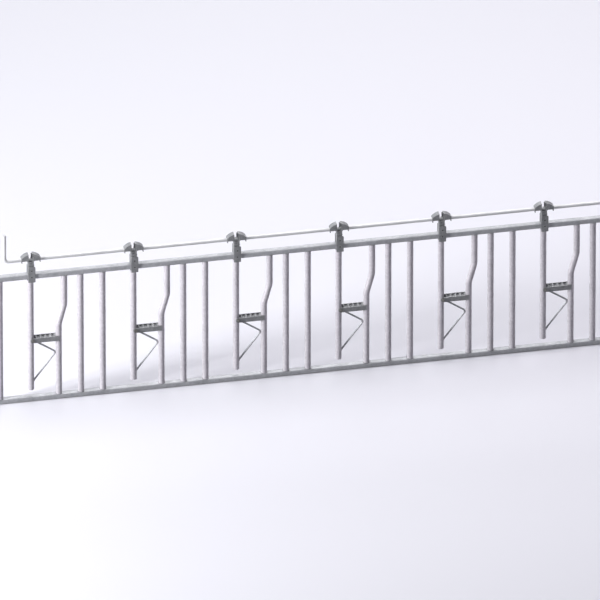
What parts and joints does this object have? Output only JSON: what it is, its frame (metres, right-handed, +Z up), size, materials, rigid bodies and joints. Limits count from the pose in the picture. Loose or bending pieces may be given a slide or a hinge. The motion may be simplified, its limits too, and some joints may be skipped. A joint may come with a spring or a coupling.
{
  "type": "cattle headlock panel",
  "caption": "Self-locking feed barrier panel with swinging neck yokes, latch heads on the top rail and a control rod with a hand lever.",
  "frame": {"origin": "centre of the bottom rail's underside, in the panel's middle plane", "axes": "+X along the rails, away from the hand lever's end; +Y through the panel, away from the side the picture is taken from; +Z up"},
  "size_m": [4.3, 0.0708, 1.2893],
  "materials": {
    "rail_zinc": "hot-dip galvanised rectangular tube, dull mid grey",
    "tube_zinc": "hot-dip galvanised round tube, satin light grey",
    "plate_zinc": "hot-dip galvanised plate, dull mid grey",
    "rod_zinc": "hot-dip galvanised control rod, satin pale grey",
    "bolt_zinc": "galvanised bolt, slightly warm satin grey",
    "cap_zinc": "galvanised cap, satin grey"
  },
  "bodies": {
    "panel": {"bottom_rail": "rail_zinc", "top_rail": "rail_zinc", "left_end_post": "tube_zinc", "right_end_post": "tube_zinc", "inner_post_1": "tube_zinc", "inner_post_2": "tube_zinc", "inner_post_3": "tube_zinc", "inner_post_4": "tube_zinc", "inner_post_5": "tube_zinc", "inner_post_6": "tube_zinc", "inner_post_7": "tube_zinc", "inner_post_8": "tube_zinc", "inner_post_9": "tube_zinc", "inner_post_10": "tube_zinc", "inner_post_11": "tube_zinc", "bent_post_1": "tube_zinc", "bent_post_2": "tube_zinc", "bent_post_3": "tube_zinc", "bent_post_4": "tube_zinc", "bent_post_5": "tube_zinc", "bent_post_6": "tube_zinc", "pivot_bracket_1": "plate_zinc", "pivot_bracket_2": "plate_zinc", "pivot_bracket_3": "plate_zinc", "pivot_bracket_4": "plate_zinc", "pivot_bracket_5": "plate_zinc", "pivot_bracket_6": "plate_zinc", "pivot_bolt_1": "bolt_zinc", "pivot_bolt_2": "bolt_zinc", "pivot_bolt_3": "bolt_zinc", "pivot_bolt_4": "bolt_zinc", "pivot_bolt_5": "bolt_zinc", "pivot_bolt_6": "bolt_zinc", "latch_head_1": "plate_zinc", "latch_head_2": "plate_zinc", "latch_head_3": "plate_zinc", "latch_head_4": "plate_zinc", "latch_head_5": "plate_zinc", "latch_head_6": "plate_zinc"},
    "yoke_1": {"swing_bar_1": "tube_zinc", "fork_1": "plate_zinc"},
    "yoke_2": {"swing_bar_2": "tube_zinc", "fork_2": "plate_zinc"},
    "yoke_3": {"swing_bar_3": "tube_zinc", "fork_3": "plate_zinc"},
    "yoke_4": {"swing_bar_4": "tube_zinc", "fork_4": "plate_zinc"},
    "yoke_5": {"swing_bar_5": "tube_zinc", "fork_5": "plate_zinc"},
    "yoke_6": {"swing_bar_6": "tube_zinc", "fork_6": "plate_zinc"},
    "control_rod": {"control_rod": "rod_zinc", "lever_cap": "cap_zinc", "rod_end_cap": "cap_zinc"},
    "dog_1": {"latch_dog_1": "plate_zinc"},
    "dog_2": {"latch_dog_2": "plate_zinc"},
    "dog_3": {"latch_dog_3": "plate_zinc"},
    "dog_4": {"latch_dog_4": "plate_zinc"},
    "dog_5": {"latch_dog_5": "plate_zinc"},
    "dog_6": {"latch_dog_6": "plate_zinc"}
  },
  "joints": [
    {"name": "yoke_1_swing", "type": "hinge", "parent": "panel", "child": "yoke_1", "pos_m": [-1.8781, 0, 0.4695], "axis": [0, 1, 0], "range_deg": [0, 18]},
    {"name": "yoke_2_swing", "type": "hinge", "parent": "panel", "child": "yoke_2", "pos_m": [-1.1781, 0, 0.4695], "axis": [0, 1, 0], "range_deg": [0, 18]},
    {"name": "yoke_3_swing", "type": "hinge", "parent": "panel", "child": "yoke_3", "pos_m": [-0.4781, 0, 0.4695], "axis": [0, 1, 0], "range_deg": [0, 18]},
    {"name": "yoke_4_swing", "type": "hinge", "parent": "panel", "child": "yoke_4", "pos_m": [0.2219, 0, 0.4695], "axis": [0, 1, 0], "range_deg": [0, 18]},
    {"name": "yoke_5_swing", "type": "hinge", "parent": "panel", "child": "yoke_5", "pos_m": [0.9219, 0, 0.4695], "axis": [0, 1, 0], "range_deg": [0, 18]},
    {"name": "yoke_6_swing", "type": "hinge", "parent": "panel", "child": "yoke_6", "pos_m": [1.6219, 0, 0.4695], "axis": [0, 1, 0], "range_deg": [0, 18]},
    {"name": "control_rod_turn", "type": "hinge", "parent": "panel", "child": "control_rod", "pos_m": [0, 0, 1.087], "axis": [1, 0, 0], "range_deg": [0, 90]},
    {"name": "dog_1_drop", "type": "slide", "parent": "panel", "child": "dog_1", "axis": [0, 0, -1], "range_m": [0, 0.03]},
    {"name": "dog_2_drop", "type": "slide", "parent": "panel", "child": "dog_2", "axis": [0, 0, -1], "range_m": [0, 0.03]},
    {"name": "dog_3_drop", "type": "slide", "parent": "panel", "child": "dog_3", "axis": [0, 0, -1], "range_m": [0, 0.03]},
    {"name": "dog_4_drop", "type": "slide", "parent": "panel", "child": "dog_4", "axis": [0, 0, -1], "range_m": [0, 0.03]},
    {"name": "dog_5_drop", "type": "slide", "parent": "panel", "child": "dog_5", "axis": [0, 0, -1], "range_m": [0, 0.03]},
    {"name": "dog_6_drop", "type": "slide", "parent": "panel", "child": "dog_6", "axis": [0, 0, -1], "range_m": [0, 0.03]}
  ],
  "couplings": [
    {"joint": "dog_1_drop", "follows": "control_rod_turn", "m_per_rad": 0.019},
    {"joint": "dog_2_drop", "follows": "control_rod_turn", "m_per_rad": 0.019},
    {"joint": "dog_3_drop", "follows": "control_rod_turn", "m_per_rad": 0.019},
    {"joint": "dog_4_drop", "follows": "control_rod_turn", "m_per_rad": 0.019},
    {"joint": "dog_5_drop", "follows": "control_rod_turn", "m_per_rad": 0.019},
    {"joint": "dog_6_drop", "follows": "control_rod_turn", "m_per_rad": 0.019}
  ]
}
